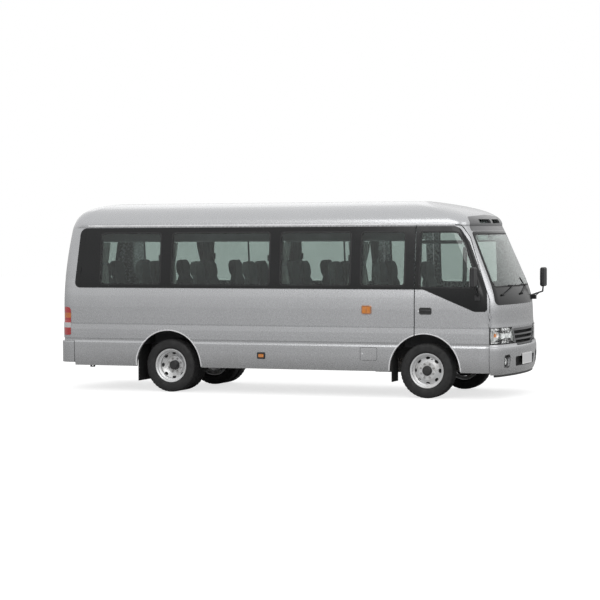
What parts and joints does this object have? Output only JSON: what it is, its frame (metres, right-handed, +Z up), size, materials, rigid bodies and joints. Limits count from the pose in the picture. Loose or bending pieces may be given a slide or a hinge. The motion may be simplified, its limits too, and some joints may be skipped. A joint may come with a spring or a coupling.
{
  "type": "minibus",
  "caption": "Silver minibus with a bonded window band, hinged cab, entry and luggage doors, steered front wheels and twin rear wheels on a ladder chassis",
  "frame": {"origin": "on the road under the middle of the overall length and width", "axes": "+X forward, +Y to the vehicle's left, +Z up"},
  "size_m": [6.761, 2.59, 2.6698],
  "materials": {
    "body_paint": "silver metallic",
    "dark_paint": "dark grey",
    "black_band": "black glass edge",
    "tinted_glass": "grey green tint",
    "clear_glass": "light green tint",
    "black_plastic": "grained black",
    "chassis_paint": "black chassis paint",
    "bare_iron": "cast",
    "wheel_paint": "silver wheel paint",
    "tyre": "black rubber",
    "flap_rubber": "black rubber",
    "lamp_clear": "clear lamp lens",
    "lamp_red": "red lamp lens",
    "lamp_amber": "amber lamp lens",
    "seat_cloth": "grey moquette",
    "curtain_cloth": "grey woven",
    "trim_plastic": "grey moulded",
    "floor_cover": "grey floor sheet",
    "exhaust_steel": "dull steel",
    "plate_white": "plain white sheet"
  },
  "bodies": {
    "root": {"body_side_right": "body_paint", "body_side_left": "body_paint", "roof_panel": "body_paint", "rear_panel": "body_paint", "front_panel": "body_paint", "front_header": "dark_paint", "windscreen": "clear_glass", "window_bands": "black_band", "fixed_windows": "tinted_glass", "floor": "floor_cover", "wheel_boxes": "floor_cover", "chassis_frame": "chassis_paint", "axles": "bare_iron", "engine_block": "bare_iron", "exhaust": "exhaust_steel", "fuel_tank": "chassis_paint", "bumpers": "body_paint", "bumper_grilles": "black_plastic", "number_plates": "plate_white", "grille": "dark_paint", "front_lamps": "lamp_clear", "tail_lamps": "lamp_red", "side_lamps": "lamp_amber", "seats": "seat_cloth", "dashboard": "trim_plastic", "curtains": "curtain_cloth", "ceiling_ducts": "trim_plastic", "mirror_left": "black_plastic", "wipers": "black_plastic", "mudflaps": "flap_rubber"},
    "driver_door": {"driver_door": "body_paint", "driver_door_trim": "black_band", "driver_door_glass": "tinted_glass", "mirror_right": "black_plastic"},
    "passenger_door": {"passenger_door": "body_paint", "passenger_door_glass": "tinted_glass"},
    "luggage_door_left": {"luggage_door_left": "body_paint"},
    "luggage_door_right": {"luggage_door_right": "body_paint"},
    "fuel_flap": {"fuel_flap": "body_paint"},
    "steering_wheel": {"steering_wheel": "black_plastic"},
    "knuckle_left": {"knuckle_left": "bare_iron"},
    "knuckle_right": {"knuckle_right": "bare_iron"},
    "wheel_front_left": {"wheel_front_left": "wheel_paint", "tyre_front_left": "tyre"},
    "wheel_front_right": {"wheel_front_right": "wheel_paint", "tyre_front_right": "tyre"},
    "wheel_rear_left": {"wheel_rear_left": "wheel_paint", "tyre_rear_left": "tyre"},
    "wheel_rear_right": {"wheel_rear_right": "wheel_paint", "tyre_rear_right": "tyre"}
  },
  "joints": [
    {"name": "driver_door_hinge", "type": "hinge", "parent": "root", "child": "driver_door", "pos_m": [3.134, -0.996, 0.9], "axis": [0, 0, 1], "range_deg": [0, 60]},
    {"name": "passenger_door_hinge", "type": "hinge", "parent": "root", "child": "passenger_door", "pos_m": [1.735, 1.0405, 1.2], "axis": [0, 0, -1], "range_deg": [0, 85]},
    {"name": "luggage_door_left_hinge", "type": "hinge", "parent": "root", "child": "luggage_door_left", "pos_m": [-3.32705, 0.569, 1], "axis": [0, 0, -1], "range_deg": [0, 85]},
    {"name": "luggage_door_right_hinge", "type": "hinge", "parent": "root", "child": "luggage_door_right", "pos_m": [-3.32705, -0.569, 1], "axis": [0, 0, 1], "range_deg": [0, 85]},
    {"name": "fuel_flap_hinge", "type": "hinge", "parent": "root", "child": "fuel_flap", "pos_m": [1.5615, -1.0405, 0.59], "axis": [0, 0, 1], "range_deg": [0, 110]},
    {"name": "steer_left", "type": "hinge", "parent": "root", "child": "knuckle_left", "pos_m": [2.235, 0.75, 0.373], "axis": [0, 0, 1], "range_deg": [-35, 35]},
    {"name": "steer_right", "type": "hinge", "parent": "root", "child": "knuckle_right", "pos_m": [2.235, -0.75, 0.373], "axis": [0, 0, 1], "range_deg": [-35, 35]},
    {"name": "steering_wheel_turn", "type": "hinge", "parent": "root", "child": "steering_wheel", "pos_m": [2.71301, -0.6, 1.47334], "axis": [-0.7193, 0, 0.6947], "range_deg": [-560, 560]},
    {"name": "spin_front_left", "type": "hinge", "parent": "knuckle_left", "child": "wheel_front_left", "pos_m": [2.235, 0.845, 0.373], "axis": [0, 1, 0], "continuous": true},
    {"name": "spin_front_right", "type": "hinge", "parent": "knuckle_right", "child": "wheel_front_right", "pos_m": [2.235, -0.845, 0.373], "axis": [0, 1, 0], "continuous": true},
    {"name": "spin_rear_left", "type": "hinge", "parent": "root", "child": "wheel_rear_left", "pos_m": [-1.565, 0.745, 0.373], "axis": [0, 1, 0], "continuous": true},
    {"name": "spin_rear_right", "type": "hinge", "parent": "root", "child": "wheel_rear_right", "pos_m": [-1.565, -0.745, 0.373], "axis": [0, 1, 0], "continuous": true}
  ],
  "couplings": [
    {"joint": "steer_right", "follows": "steer_left", "ratio": 1},
    {"joint": "steering_wheel_turn", "follows": "steer_left", "ratio": 16}
  ]
}
